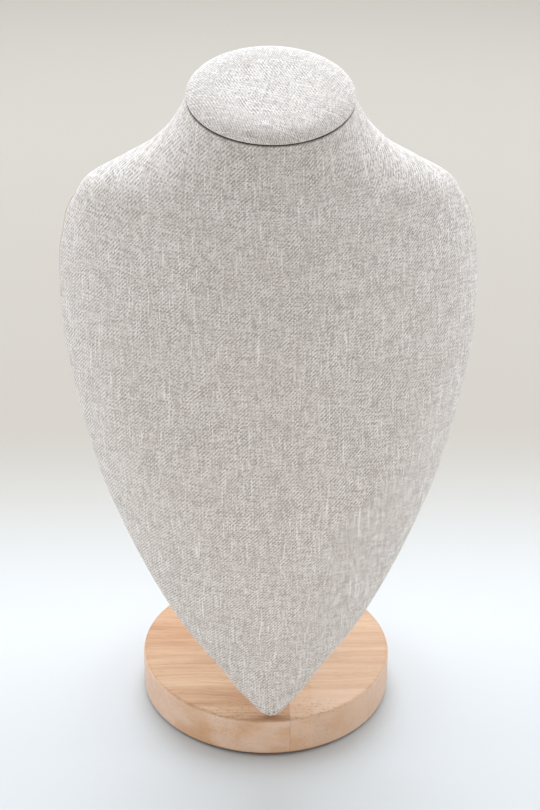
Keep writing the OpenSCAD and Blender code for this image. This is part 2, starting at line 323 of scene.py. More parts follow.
def woodFinish(name, palette, staves=(), seed=0.0, streak=1.0):
    # grain runs along X; staves are the Y places of glued joints, and the front stave is butted at one more
    look = {"buttAt": 9.0 * mm, "buttFront": -37.0 * mm, "fleckAt": -52 * mm, "joint": 0.3 * mm,
            "paintedSideLight": (0.86, 0.655, 0.515), "endDark": (0.60, 0.40, 0.29), "endPale": (0.70, 0.51, 0.39),
            "glue": (0.30, 0.15, 0.07), "buttGlue": (0.36, 0.19, 0.10), "buttPale": (0.66, 0.47, 0.34),
            "fleck": (0.20, 0.07, 0.02), "paleRight": (0.50, 0.37, 0.265)}
    f = Finish(name)
    x, y, z = f.split(f.place())
    shift = seed
    for k, edge in enumerate(staves):
        shift = shift + (y > edge) * (0.31 + 0.17 * k)
    if staves:
        butt = (x > look["buttAt"]) * (y < look["buttFront"])
        shift = shift + butt * 0.53
    moved = f.join(x + shift * 0.4, y + shift, z + shift * 0.7)
    bend = f.noise(f.scaled(moved, (9, 14, 14)), 1.0, 2.0)
    warped = f.join(x + shift, y + bend * 0.012 + shift, z + bend * 0.007)
    figure = f.noise(f.scaled(warped, (6, 120, 95)), 1.0, 3.0, 0.6)
    fine = f.noise(f.scaled(warped, (26, 760, 640)), 1.0, 3.0, 0.65)
    pore = f.noise(f.scaled(warped, (150, 1700, 1500)), 1.0, 2.0, 0.5)
    colour = f.ramp(figure * (0.56 * streak) + fine * 0.44, palette)
    colour = f.mix(pore.within(0.60, 0.70) * 0.55, colour, palette[0][1])
    sides, ends = f.attribute("sideFace"), f.attribute("endGrain")
    cloud = f.noise(f.scaled(moved, (60, 60, 90)), 1.0, 3.0)
    # painted light: the base's side face gets a paler wood colour than its top, standing in for light on the
    # side
    pale = f.mix(cloud.within(0.3, 0.7), tuple(c * 1.55 for c in palette[2][1]), look["paintedSideLight"])
    colour = f.mix(sides * 0.78, colour, f.mix(fine * 0.35, pale, palette[1][1]))
    endTone = f.noise(f.scaled(moved, (700, 260, 900)), 1.0, 3.0, 0.6)
    endColour = f.mix(endTone.within(0.25, 0.75), look["endDark"], look["endPale"])
    colour = f.mix(ends * 0.85, colour, endColour)
    if staves:
        # paler towards the right: over the back stave's right half and along the whole right side
        paleRight = (y > staves[1]) * (x > 0.0) * 0.45 + (x > 20 * mm) * 0.25
        colour = f.mix(paleRight, colour, look["paleRight"])
        colour = f.mix(butt * 0.30 * (1 - ends), colour, look["buttPale"])
        for edge in staves:
            line = 1 - abs(y - edge).within(0.05 * mm, 0.28 * mm)
            colour = f.mix(line * 0.5, colour, look["glue"])
        joint = (1 - abs(x - look["buttAt"]).within(0.05 * mm, look["joint"])) * (y < look["buttFront"])
        colour = f.mix(joint * 0.4, colour, look["buttGlue"])
        # short dark flecks where the front stave's grain runs out at the edge
        fleck = f.noise(f.scaled(f.place(), (520, 2400, 1500), move=(0.3, 0.7, 0.2)), 1.0, 1.0)
        front = (1 - abs(y - look["fleckAt"]).within(3 * mm, 11 * mm)) * (1 - abs(x).within(24 * mm, 44 * mm))
        fleckShare = fleck.within(0.62, 0.69) * front * (1 - sides * 0.6) * 0.8
        colour = f.mix(fleckShare, colour, look["fleck"])
    relief = f.bump(fine + pore * 0.6, 0.16, 0.12 * mm)
    f.set(Coat_Roughness=0.45, IOR=1.45, Coat_Weight=0.05 + fine * 0.03)
    return f.set(Base_Color=colour, Roughness=0.52 + fine * 0.16, Normal=relief)


def steelFinish(name, base, rough, along=(1, 1, 1), marks=0.12):
    f = Finish(name)
    place = f.place()
    brushed = f.noise(f.scaled(place, along), 1.0, 4.0, 0.7)
    blotch = f.noise(place, 190.0, 3.0)
    colour = f.mix(blotch.within(0.35, 0.7) * 0.35, base, tuple(c * 0.78 for c in base))
    f.set(IOR=1.5, Metallic=1.0)
    return f.set(Base_Color=colour, Roughness=rough - marks / 2 + brushed * marks + blotch * 0.05,
                 Normal=f.bump(brushed, 0.10, 0.05 * mm))


def mouldedFinish(name, base, rough, grain=2600.0, depth=0.12, worn=1.35):
    f = Finish(name)
    place = f.place()
    pebble = f.noise(place, grain, 2.0)
    cloud = f.noise(place, 60.0, 3.0)
    colour = f.mix(cloud.within(0.3, 0.7) * 0.5, base, tuple(min(1, c * worn) for c in base))
    f.set(IOR=1.48)
    return f.set(Base_Color=colour, Roughness=rough + cloud * 0.08, Normal=f.bump(pebble, depth, 0.08 * mm))


def cardFinish():
    f = Finish("creamCard")
    place = f.place()
    tooth = f.noise(place, 1900.0, 3.0, 0.6)
    fibre = f.noise(f.scaled(place, (260, 900, 60)), 1.0, 3.0, 0.6)
    cloud = f.noise(place, 26.0, 3.0)
    # painted shade: the card's back faces get a darker tan than its cream rim, so the back lamps don't wash
    # them out
    colour = f.mix(cloud.within(0.3, 0.7), (0.46, 0.42, 0.345), (0.50, 0.46, 0.385))
    colour = f.mix(fibre.within(0.62, 0.75) * 0.35, colour, (0.38, 0.31, 0.23))
    colour = f.mix(f.attribute("rimShade") * 0.75, colour, (0.88, 0.80, 0.70))
    f.set(IOR=1.45)
    return f.set(Base_Color=colour, Roughness=0.66 + tooth * 0.12, Normal=f.bump(tooth, 0.22, 0.10 * mm))


def feltFinish():
    f = Finish("pressedFelt")
    place = f.place()
    mat = f.noise(place, 1400.0, 4.0, 0.7, 1.2)
    cloud = f.noise(place, 90.0, 3.0)
    colour = f.mix(mat, (0.19, 0.12, 0.08), (0.40, 0.28, 0.20))
    colour = f.mix(cloud * 0.3, colour, (0.25, 0.17, 0.12))
    f.set(Sheen_Weight=0.5, Sheen_Roughness=0.6)
    return f.set(Base_Color=colour, Roughness=0.94 - mat * 0.05, Normal=f.bump(mat, 0.6, 0.3 * mm))


def foamFinish():
    f = Finish("openFoam")
    place = f.place()
    cells = f.add("ShaderNodeTexVoronoi", {"feature": "F1"}, {"Vector": place, "Scale": 2200.0})
    cloud = f.noise(place, 80.0, 3.0)
    colour = f.mix(cells.within(0.05, 0.5), (0.62, 0.56, 0.40), (0.87, 0.83, 0.68))
    colour = f.mix(cloud * 0.25, colour, (0.80, 0.72, 0.50))
    return f.set(Base_Color=colour, Roughness=0.9 - cells * 0.05, Normal=f.bump(cells, 0.6, 0.25 * mm))


basePalette = [(0.28, (0.26, 0.112, 0.044)), (0.41, (0.375, 0.195, 0.093)), (0.52, (0.435, 0.255, 0.138)),
               (0.66, (0.51, 0.34, 0.21))]
beechPalette = [(0.22, (0.36, 0.215, 0.115)), (0.42, (0.55, 0.365, 0.21)), (0.56, (0.63, 0.44, 0.27)),
                (0.76, (0.70, 0.52, 0.34))]
boardPalette = [(0.25, (0.24, 0.14, 0.07)), (0.45, (0.33, 0.21, 0.11)), (0.6, (0.38, 0.25, 0.14)),
                (0.8, (0.45, 0.31, 0.18))]
tipMarks = [(-0.8, -59.6, 24.3, 0.95), (1.4, -59.7, 25.0, 0.9),  # x, y, z in mm, and how dark
            (6.5, -57.7, 26.8, 0.6), (-7.2, -57.1, 26.3, 0.5)]
finish = {
    "linen": linenFinish("oatmealLinen", marks=tipMarks),
    "capLinen": linenFinish("oatmealLinenCap", math.radians(-72)),
    "baseWood": woodFinish("rubberwood", basePalette, (-1.0 * mm, 31.0 * mm), 0.13),
    "beech": woodFinish("sandedBeech", beechPalette, seed=1.7),
    "board": woodFinish("fibreboard", boardPalette, seed=2.9, streak=0.7),
    "brushed": steelFinish("brushedSteel", (0.62, 0.62, 0.63), 0.34, (900, 900, 12)),
    "zinc": steelFinish("zincPlate", (0.58, 0.60, 0.63), 0.38, (700, 700, 700), 0.18),
    "black": steelFinish("blackOxide", (0.030, 0.030, 0.033), 0.42, (800, 800, 800)),
    "brass": steelFinish("turnedBrass", (0.72, 0.50, 0.22), 0.30, (60, 1200, 60)),
    "plastic": mouldedFinish("satinBlackPlastic", (0.022, 0.022, 0.024), 0.42),
    "nylon": mouldedFinish("whiteNylon", (0.78, 0.78, 0.75), 0.45, worn=0.9),
    "moulded": mouldedFinish("rawMoulding", (0.70, 0.64, 0.52), 0.62, 900.0, 0.3, 0.92),
    "card": cardFinish(),
    "felt": feltFinish(),
    "foam": foamFinish(),
}
print("finishes made:", len(finish))


# the form's surface

formShape = {
    "lean": 19.5, "neckTilt": 25.0, "wrap": 155.0, "topWrap": 12.0, "rimWall": 2.0, "height": 281.5,
    "tipReach": 56.0,  # the tip hangs this far in front of the post
    "creaseAt": 213.0, "creaseHalfWidth": 86.0, "creaseHalfHeight": 117.0,
    "widths": [(0, 0), (8, 11.7), (24, 25.6), (50, 46.5), (80, 63.6), (110, 77), (140, 86), (170, 92),
               (200, 92.9), (213, 90.6), (225, 90), (235, 87.8), (244, 75.7), (252, 61.4), (259, 52),
               (265, 45.7), (271, 41.3), (277, 38), (284, 35.6)],
    "depths": [(200, 44.5), (213, 45.5), (228, 47.1), (248, 49.7), (268, 55.6), (284, 59.8)],
}
lean = math.radians(formShape["lean"])
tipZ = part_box("linen_cover")[0].z / mm - 0.6  # the CAD skin starts 0.6 above the tip
tipReach = formShape["tipReach"]
topH = formShape["height"]
topBackY = topH * math.tan(lean) - tipReach  # the neck's flat top meets the back here


def hermite(knots, x):
    xs, ys = (np.array(v, float) for v in zip(*knots))
    slopes = np.array([(ys[min(i + 1, len(xs) - 1)] - ys[max(i - 1, 0)])
                       / (xs[min(i + 1, len(xs) - 1)] - xs[max(i - 1, 0)]) for i in range(len(xs))])
    i = np.clip(np.searchsorted(xs, x, side="right") - 1, 0, len(xs) - 2)
    w = xs[i + 1] - xs[i]
    t = (x - xs[i]) / w
    return ((2 * t**3 - 3 * t**2 + 1) * ys[i] + (t**3 - 2 * t**2 + t) * w * slopes[i]
            + (3 * t**2 - 2 * t**3) * ys[i + 1] + (t**3 - t**2) * w * slopes[i + 1])


def smooth(x):
    t = np.clip(x, 0, 1)
    return t * t * (3 - 2 * t)


def blendOf(a, b, t):
    return a + (b - a) * t


def halfWidth(h):
    return np.sqrt(np.maximum(hermite([(x, y * y) for x, y in formShape["widths"]], h), 1e-4))


def rimCosine(h):
    rise = halfWidth(h + 1) - halfWidth(np.maximum(h - 1, 0))
    return 2 / np.sqrt(4 + rise * rise)


def neckShare(h):
    return smooth((h - formShape["creaseAt"]) / 62)


def tiltAt(h):
    return math.radians(formShape["neckTilt"]) * smooth((h - 203) / (topH - 203))


def chestDepth(h, u):
    a, b = formShape["creaseHalfWidth"], formShape["creaseHalfHeight"]
    dome = 38 + 0.068 * (h - 96) - np.maximum(10, 13 + 0.171 * (h - 96)) * (u / a) ** 2
    q = np.sqrt((u / a) ** 2 + (np.maximum(0, formShape["creaseAt"] - h) / b) ** 2)
    outside = (q - 1) * 100
    toCrease = (outside + np.sqrt(outside**2 + 36)) / 2 + 4
    w = halfWidth(h)
    share = (np.sqrt((u / w) ** 2 + 0.09) - 0.3) / (math.sqrt(1.09) - 0.3)
    toRim = np.maximum(0, w * (1 - share)) * rimCosine(h)
    power = 0.5 + 0.3 * np.clip((q - 1) / 0.6, 0, 1)
    return formShape["rimWall"] + dome * (toRim / (toRim + toCrease)) ** power


def wrapAt(h):  # how far round the neck's oval the form reaches
    return np.radians(formShape["wrap"] + formShape["topWrap"] * smooth((h - 255) / 26))


def neckDepth(h, s):
    wrap = wrapAt(h)
    return hermite(formShape["depths"], h) * (np.cos(wrap * s) - np.cos(wrap)) / (1 - np.cos(wrap))


def surfaceU(h, s):
    return halfWidth(h) * blendOf(np.sin(math.pi / 2 * s), np.sin(wrapAt(h) * s), neckShare(h))


def surfaceDepth(h, s):
    u = halfWidth(h) * np.sin(math.pi / 2 * s)
    return blendOf(chestDepth(h, u), neckDepth(h, s), neckShare(h))


def placed(h, u, depth):  # millimetres on the form to a place in the frame
    backY, tilt = h * math.tan(lean) - tipReach, tiltAt(h)
    return np.stack([u + 0 * h, backY - depth * np.cos(tilt), tipZ + h - depth * np.sin(tilt)], -1)


def onBack(u, h, w):  # a place on the leaning back, w in front of it
    along = h / math.cos(lean)
    return (u, along * math.sin(lean) - w * math.cos(lean) - tipReach,
            tipZ + along * math.cos(lean) + w * math.sin(lean))


def ringOf(h, inset, rise, across, roll=0.0):
    # one arc from rim to rim at height h, set in by inset; roll rounds the rim under by that much
    s = np.linspace(-1, 1, across)
    w = float(halfWidth(h))
    inset = min(inset, 0.45 * w)
    kd = 1 - min(inset / float(surfaceDepth(h, 0.0)), 0.6)
    u, depth = surfaceU(h, s) * (1 - inset / w), surfaceDepth(h, s) * kd
    rim = float(surfaceU(h, 1.0)) * (1 - (inset + 0.3 * rise) / w)
    if roll:
        rim, r = max(rim, 0.05), min(roll, 0.4 * w)
        turn = np.linspace(0, math.pi / 2, 5)
        edgeU, edgeDepth = rim - r + r * np.sin(turn), r - r * np.cos(turn)
        u[[0, -1]], depth[[0, -1]] = (-(rim - 0.02), rim - 0.02), r + 0.5
        u = np.concatenate([-edgeU, u, edgeU[::-1]])
        depth = np.concatenate([edgeDepth, depth, edgeDepth[::-1]])
        return u, depth
    u[[0, -1]], depth[[0, -1]] = (-rim, rim), rise
    return u, depth


def skin(name, material, heights, across, outer, inner, rise, hem=0.0, roll=0.0, rimInset=0.0):
    # a closed skin between two arcs, with an optional hem turned in behind the rim
    points, cloth = [], []
    down, before = 0.0, None
    for h in heights:
        h = float(h)
        u, depth = ringOf(h, outer, rise if not roll else 0.0, across, roll)
        if rimInset:
            u = u * (1 - min(rimInset, 0.3 * float(halfWidth(h))) / float(halfWidth(h)))
        innerU, innerDepth = ringOf(h, inner, rise, across)
        reach = innerU[-1]
        lip = min(hem, 0.6 * reach)
        lipU, lipDepth = ([reach - lip, reach - lip], [0.0, rise]) if hem else ([], [])
        ringU = np.concatenate([u, lipU, innerU[::-1], [-x for x in lipU[::-1]]])
        ringDepth = np.concatenate([depth, lipDepth, innerDepth[::-1], lipDepth[::-1]])
        ring = placed(np.full(len(ringU), h), ringU, ringDepth)
        middle = ring[len(u) // 2]
        if before is not None:
            down += float(np.linalg.norm(middle - before))
        before = middle
        steps = np.linalg.norm(np.diff(np.concatenate([ring, ring[:1]]), axis=0), axis=1)
        run = np.concatenate([[0], np.cumsum(steps)[:-1]])
        run = run - run[len(u) // 2]
        points.append(ring)
        cloth.append(np.stack([run * mm, np.full(len(run), down * mm)], -1))
    n, arc, m = len(points[0]), len(u), 2 if hem else 0
    faces = tubeFaces(len(heights), n)
    extra = (arc - across) // 2  # points that the rolled rim adds on each side
    partner = [n - 1 - m - min(max(i - extra, 0), across - 1) for i in range(arc)]
    for base in (0, (len(heights) - 1) * n):
        for i in range(arc - 1):
            corners = [i, i + 1, partner[i + 1], partner[i]]
            faces.append([base + c for k, c in enumerate(corners) if c not in corners[:k]])
        if m:
            faces.append([base + c for c in (arc - 1, arc, arc + 1, arc + 2)])
            faces.append([base + c for c in (0, n - 3, n - 2, n - 1)])
    piece = makePiece(name, np.concatenate(points) * mm, faces, material, 55.0)
    giveCloth(piece, np.concatenate(cloth))
    return piece


# linen and foam over the form

linenLook = {"thickness": 0.8, "hem": 14.0, "roll": 0.9, "rows": 230, "across": 121, "behindCard": 0.55}
nearTip = np.array([0.03, 0.12, 0.3, 0.6, 1.0, 1.6, 2.4, 3.4, 4.6, 6.0])  # heights that crowd in at the tip
aboveTip = 7.4
linenHeights = np.concatenate([nearTip, np.linspace(aboveTip, topH, linenLook["rows"])])
linen = skin("linenCover", finish["linen"], linenHeights, linenLook["across"], 0.0, linenLook["thickness"],
             linenLook["thickness"], linenLook["hem"], linenLook["roll"], linenLook["behindCard"])


def tuckTop(piece, depthIn):  # shades the linen's top edge, where it folds in under the cap
    co = np.array([v.co for v in piece.data.vertices]) / mm
    tilt = math.radians(formShape["neckTilt"])
    up = (co[:, 1] - topBackY) * -math.sin(tilt) + (co[:, 2] - tipZ - topH) * math.cos(tilt)
    giveValues(piece, "seamShade", smooth((up + depthIn) / depthIn))


tuckTop(linen, 0.5)
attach(linen, "bust")
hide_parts("linen_cover")

foamLook = {"gap": 0.1, "thickness": 1.7, "rise": 1.7, "rows": 110, "across": 61, "lowest": 8}
foamHeights = np.linspace(foamLook["lowest"], topH, foamLook["rows"])
foam = skin("foamSkin", finish["foam"], foamHeights, foamLook["across"],
            linenLook["thickness"] + foamLook["gap"], linenLook["thickness"] + foamLook["thickness"],
            foamLook["rise"])
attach(foam, "bust")
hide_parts("foam_skin")
print("linen and foam made:", len(linen.data.polygons), len(foam.data.polygons))


# cream card that closes the back

def makeCard():
    look = {"thickness": 1.2, "air": 0.1, "ease": 0.35, "rows": 150}
    heights = np.concatenate([nearTip[1:], np.linspace(aboveTip, topH, look["rows"])])
    back, front, e = -look["thickness"], -look["air"], look["ease"]
    layers = [(e * 1.6, back), (e * 0.7, back + e * 0.35), (0.0, back + e),  # inset from the rim, and depth
              (0.0, front - 0.15), (0.12, front)]
    rim = [float(surfaceU(h, 1.0)) for h in heights]
    shrink = [1 / max(float(halfWidth(h)), 0.6) for h in heights]
    points, shade = [], []
    n = 2 * len(heights)
    for inset, w in layers:
        right = [(max(u * (1 - inset * k), 0.01), h) for u, k, h in zip(rim, shrink, heights)]
        loop = right + [(-u, h) for u, h in right[::-1]]
        loop = [(u, min(h, topH - inset)) for u, h in loop]
        points += [onBack(u, h, w) for u, h in loop]
        shade += [1.0 if inset < e else 0.0] * n
    faces = tubeFaces(len(layers), n)
    for base, flip in ((0, 1), ((len(layers) - 1) * n, 0)):
        for i in range(len(heights) - 1):
            quad = [base + i, base + i + 1, base + n - 2 - i, base + n - 1 - i]
            faces.append(quad[::-1] if flip else quad)
    piece = makePiece("backCover", np.array(points) * mm, faces, finish["card"], 50.0)
    giveValues(piece, "rimShade", shade)
    return piece


card = makeCard()
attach(card, "bust")
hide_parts("back_cover")


# padded cap on the neck

capLook = {"halfWidth": 36.2, "halfDepth": 30.3, "height": 6.0, "thickness": 0.8, "over": 0.6,
           "around": 160, "crown": 0.30, "flatInset": 11.5, "padFoot": 3.3}
neckTilt = math.radians(formShape["neckTilt"])


def onNeck(points):  # the neck's own frame, flat on its top, to the frame of the whole
    turn = Matrix.Rotation(neckTilt, 4, "X")
    middle = Matrix.Translation((0, capLook["over"] - capLook["halfDepth"], 0))
    stand = Matrix.Translation((0, topBackY, tipZ + topH))
    move = stand @ turn @ middle
    return np.array([move @ Vector(p) for p in points])


def ovalStack(name, material, profile, poleTop, poleInner):
    # rings of (inset, height) from the crown's middle down round the edge and back inside
    n, a, b = capLook["around"], capLook["halfWidth"], capLook["halfDepth"]
    points, cloth, shade = [], [], []
    run = 0.0
    for k, (share, inset, height, dark) in enumerate(profile):
        if k:
            run += math.dist(profile[k - 1][1:3], (inset, height)) if share == 1 else 0
        for i in range(n):
            t = 2 * math.pi * i / n
            c, s = math.cos(t), math.sin(t)
            x, y = (a - inset) * share * c, (b - inset) * share * s
            points.append((x, y, height))
            grow = (a + run) / max(a - inset, 1e-6) if share == 1 else 1
            cloth.append((x * grow * mm, y * grow * mm))
            shade.append(dark)
    faces = tubeFaces(len(profile), n)
    for height, ring, turnOver in ((poleTop, 0, True), (poleInner, len(profile) - 1, False)):
        points.append((0, 0, height))
        cloth.append((0, 0))
        shade.append(0.0)
        pole, first = len(points) - 1, ring * n
        for i in range(n):
            k = (i + 1) % n
            faces.append((pole, first + k, first + i) if turnOver else (pole, first + i, first + k))
    piece = makePiece(name, onNeck(points) * mm, faces, material, 60.0)
    giveCloth(piece, cloth)
    giveValues(piece, "seamShade", shade)
    return piece


def makeCapCover():
    top, crown, t, flat = (capLook[k] for k in ("height", "crown", "thickness", "flatInset"))
    shares = np.linspace(0.06, 0.96, 22)
    outer = [(float(q), flat, top + crown * (1 - q * q), 0.0) for q in shares]
    # the edge: a full rounded shoulder, a short side, and a roll that tucks in over the seam
    # each point is an inset, a height and how much painted shade darkens it in the groove at the seam
    edge = [(flat, top, 0), (8.8, top - 0.13, 0), (6.6, top - 0.37, 0), (4.8, top - 0.72, 0),
            (3.3, top - 1.16, 0), (2.1, top - 1.68, 0), (1.2, top - 2.26, 0), (0.55, top - 2.9, 0),
            (0.15, top - 3.6, 0), (0.0, 1.75, 0), (0.05, 1.3, 0), (0.25, 0.95, 0.15), (0.6, 0.72, 0.85),
            (1.1, 0.62, 1), (1.5, 0.6, 1)]
    inner = [(1.52, 1.4, 1), (1.52, 3.0, 0), (2.4, top - 2.3, 0), (4.0, top - 1.7, 0), (6.2, top - 1.2, 0),
             (9.0, top - 0.92, 0), (flat, top - t - 0.03, 0)]
    back = [(float(q), flat, top - t + crown * (1 - q * q) - 0.1, 0.0) for q in shares[::-3]]
    profile = outer + [(1.0, *p) for p in edge + inner] + back
    return ovalStack("capCover", finish["capLinen"], profile, top + crown, top - t + crown - 0.1)


def makeCapPad():
    top = capLook["height"] - capLook["thickness"] - 0.15
    crown, flat, foot = (capLook[k] for k in ("crown", "flatInset", "padFoot"))
    shares = np.linspace(0.08, 0.96, 10)
    outer = [(float(q), flat, top + crown * (1 - q * q), 0.0) for q in shares]
    edge = [(flat, top, 0), (9.0, top - 0.08, 0), (6.4, top - 0.36, 0), (4.6, top - 0.8, 0),
            (3.4, top - 1.2, 0), (2.9, top - 1.5, 0), (3.1, foot, 0)]
    back = [(float(q), foot, foot, 0.0) for q in shares[::-3]]
    return ovalStack("capPad", finish["foam"], outer + [(1.0, *p) for p in edge] + back, top + crown, foot)


capCover, capPad = makeCapCover(), makeCapPad()
for piece, node, slotName in ((capCover, "cap_cover", "linen"), (capPad, "cap_pad", "foam")):
    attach(piece, "bust")
    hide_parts(node)
print("cap made")


# wooden base and its felt

def makeBase():
    low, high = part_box("wood_base")
    look = {"radius": high.x / mm, "bottom": low.z / mm, "top": high.z / mm, "topEase": 1.9, "lowEase": 1.5,
            "screwHole": 3.3, "counterbore": 11.0, "counterboreTop": 8.5}
    r, bottom, top = look["radius"], look["bottom"], look["top"]
    corners = [(look["screwHole"], look["counterboreTop"]), (look["counterbore"], look["counterboreTop"]),
               (look["counterbore"], bottom), (r, bottom), (r, top), (look["screwHole"], top)]
    outline = eased(corners, [0.2, 0.2, 0.4, look["lowEase"], look["topEase"], 0.3], 7)
    piece = turned("woodBase", [(p.x * mm, p.y * mm) for p in outline], finish["baseWood"], segments=220,
                   smoothAngle=60.0)
    normals = np.array([v.normal for v in piece.data.vertices])
    giveValues(piece, "endGrain", smooth((np.abs(normals[:, 0]) - 0.45) / 0.5))
    giveValues(piece, "sideFace", 1 - smooth((np.abs(normals[:, 2]) - 0.1) / 0.6))
    return piece


def makeFelt():
    low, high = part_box("base_felt")
    r, t = high.x / mm, (high.z - low.z) / mm
    corners = [(0.0, 0.0), (r, 0.0), (r, t - 0.02), (0.0, t - 0.02)]
    outline = eased(corners, [0, 0.3, 0.3, 0], 3)

    def fuzz(angle, radius, height):
        return 1 + 0.0016 * math.sin(37 * angle) * math.sin(91 * angle + 1.3) * (radius > 0.05)

    return turned("baseFelt", [(p.x * mm, p.y * mm) for p in outline], finish["felt"], segments=240,
                  wave=fuzz)


base, felt = makeBase(), makeFelt()
for piece, node, slotName in ((base, "wood_base", "base_wood"), (felt, "base_felt", "felt")):
    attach(piece, "stand")
    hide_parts(node)
print("base made")


# post, collar and socket

refinedNodes = [
    # CAD node, piece, finish, body, slot, edge easing in mm
    ("support_post", "supportPost", "brushed", "post", "brushed_post", 0.3),
    ("post_cap", "postCap", "plastic", "post", "black_plastic", 0.5),
    ("stop_collar", "stopCollar", "brushed", "post", "brushed_post", 0.5),
    ("collar_screw", "collarScrew", "black", "post", "black_steel", 0.12),
    ("socket_block", "socketBlock", "beech", "bust", "socket_wood", 0.9),
    ("socket_sleeve", "socketSleeve", "brushed", "bust", "brushed_post", 0.25),
    ("clamp_insert", "clampInsert", "brass", "bust", "brass", 0.2),
    ("base_screw", "baseScrew", "black", "post", "black_steel", 0.25),
    ("base_washer", "baseWasher", "zinc", "stand", "zinc_steel", 0.15),
    ("post_washer", "postWasher", "nylon", "stand", "white_nylon", 0.12),
]
for node, name, look, body, slotName, ease in refinedNodes:
    piece = refined(node, name, finish[look], ease * mm)
    if look == "beech":
        normals = np.array([v.normal for v in piece.data.vertices])
        giveValues(piece, "endGrain", smooth((np.abs(normals[:, 0]) - 0.6) / 0.35))
    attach(piece, body)
    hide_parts(node)
print("post and socket refined:", len(refinedNodes))

# CAD nodes that stay as they are get a finish of their own
kept = {"post_plug": "zinc", "form_shell": "moulded", "back_board": "board", "neck_plug": "board",
        "cap_dowels": "beech", "cap_board": "board", "block_screws": "zinc"}
for node, look in kept.items():
    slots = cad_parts[node].data.materials
    if len(slots):
        for k in range(len(slots)):
            slots[k] = finish[look]
    else:
        slots.append(finish[look])


# thumb screw and its knob

clampLook = {"pitch": 0.8, "rowsPerTurn": 10, "segments": 36, "depth": 0.32, "runOut": 1.2,
             "lobes": 6, "ribs": 5, "ribStep": 5.6, "ribAt": 5.4, "ribInset": 0.55,
             "ribWidth": 0.34, "ribLength": 6.4}


def makeClampScrew():
    low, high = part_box("clamp_screw")
    centre, length, r = (low + high) / 2, (high.y - low.y) / mm, (high.x - low.x) / 2 / mm
    rows = int(length / clampLook["pitch"] * clampLook["rowsPerTurn"]) + 1
    n = clampLook["segments"]
    points = []
    for j in range(rows):
        y = length * j / (rows - 1)
        fade = float(smooth(min(y, length - y) / clampLook["runOut"]))
        for i in range(n):
            angle = 2 * math.pi * i / n
            phase = (y / clampLook["pitch"] - i / n) % 1
            groove = clampLook["depth"] * (1 - abs(2 * phase - 1)) + (1 - fade) * 0.25
            q = r - groove * (0.35 + 0.65 * fade)
            points.append((q * math.cos(angle), y, q * math.sin(angle)))
    faces = tubeFaces(rows, n)
    for y, ring in ((0.0, 0), (length, rows - 1)):
        points.append((0, y, 0))
        pole = len(points) - 1
        faces += [(pole, ring * n + i, ring * n + (i + 1) % n) for i in range(n)]
    moved = np.array(points) * mm + np.array((centre.x, low.y, centre.z))
    return makePiece("clampScrew", moved, faces, finish["zinc"], 60.0)


clampScrew = makeClampScrew()
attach(clampScrew, "clamp")
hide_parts("clamp_screw")


# Geometry Nodes: one small helper that adds nodes to a group

class Group:
    def __init__(self, name, inputs):
        self.tree = bpy.data.node_groups.new(name, "GeometryNodeTree")
        self.tree.interface.new_socket("Geometry", in_out="INPUT", socket_type="NodeSocketGeometry")
        self.tree.interface.new_socket("Geometry", in_out="OUTPUT", socket_type="NodeSocketGeometry")
        self.names = {}
        for label, kind, value in inputs:
            made = self.tree.interface.new_socket(label, in_out="INPUT", socket_type=kind)
            if value is not None:
                made.default_value = value
            self.names[label] = made.identifier
        self.start = self.tree.nodes.new("NodeGroupInput")
        self.end = self.tree.nodes.new("NodeGroupOutput")

    def value(self, label):
        return self.start.outputs[label]

    def times(self, label, factor):
        return self.add("ShaderNodeMath", {"operation": "MULTIPLY"},
                        {0: self.value(label), 1: factor}).outputs[0]

    def add(self, kind, settings=None, values=None):
        node = self.tree.nodes.new(kind)
        for key, value in (settings or {}).items():
            setattr(node, key, value)
        for key, value in (values or {}).items():
            if isinstance(value, bpy.types.NodeSocket):
                self.tree.links.new(value, node.inputs[key])
            else:
                node.inputs[key].default_value = value
        return node

    def spread(self, points, part, turn):  # the part at every point, made real and given its finish
        placed = self.add("GeometryNodeInstanceOnPoints", values={"Points": points, "Instance": part,
                                                                  "Rotation": turn})
        real = self.add("GeometryNodeRealizeInstances", values={"Geometry": placed.outputs["Instances"]})
        painted = self.add("GeometryNodeSetMaterial", values={"Geometry": real.outputs["Geometry"],
                                                              "Material": self.value("Finish")})
        self.tree.links.new(painted.outputs["Geometry"], self.end.inputs["Geometry"])

    def bake(self, piece, values, name):  # runs the group on a piece and returns the result as a plain mesh
        modifier = piece.modifiers.new("build", "NODES")
        modifier.node_group = self.tree
        for label, value in values.items():
            modifier[self.names[label]] = value
        bpy.context.view_layer.update()
        shown = piece.evaluated_get(bpy.context.evaluated_depsgraph_get())
        mesh = bpy.data.meshes.new_from_object(shown)
        piece.modifiers.remove(modifier)
        bpy.data.objects.remove(piece)
        made = bpy.data.objects.new(name, mesh)
        bpy.context.scene.collection.objects.link(made)
        return made


def guidePoints(name, points, turns):
    mesh = bpy.data.meshes.new(name)
    mesh.from_pydata([tuple(p) for p in points], [], [])
    layer = mesh.attributes.new("turn", "FLOAT_VECTOR", "POINT")
    layer.data.foreach_set("vector", np.asarray(turns, np.float32).ravel())
    piece = bpy.data.objects.new(name, mesh)
    bpy.context.scene.collection.objects.link(piece)
    return piece


def turnedPoints(group):  # the guide's points as points, with the rotation that each one carries
    cloud = group.add("GeometryNodeMeshToPoints", values={"Mesh": group.value("Geometry")})
    turn = group.add("GeometryNodeInputNamedAttribute", {"data_type": "FLOAT_VECTOR"}, {"Name": "turn"})
    return cloud.outputs["Points"], turn.outputs["Attribute"]


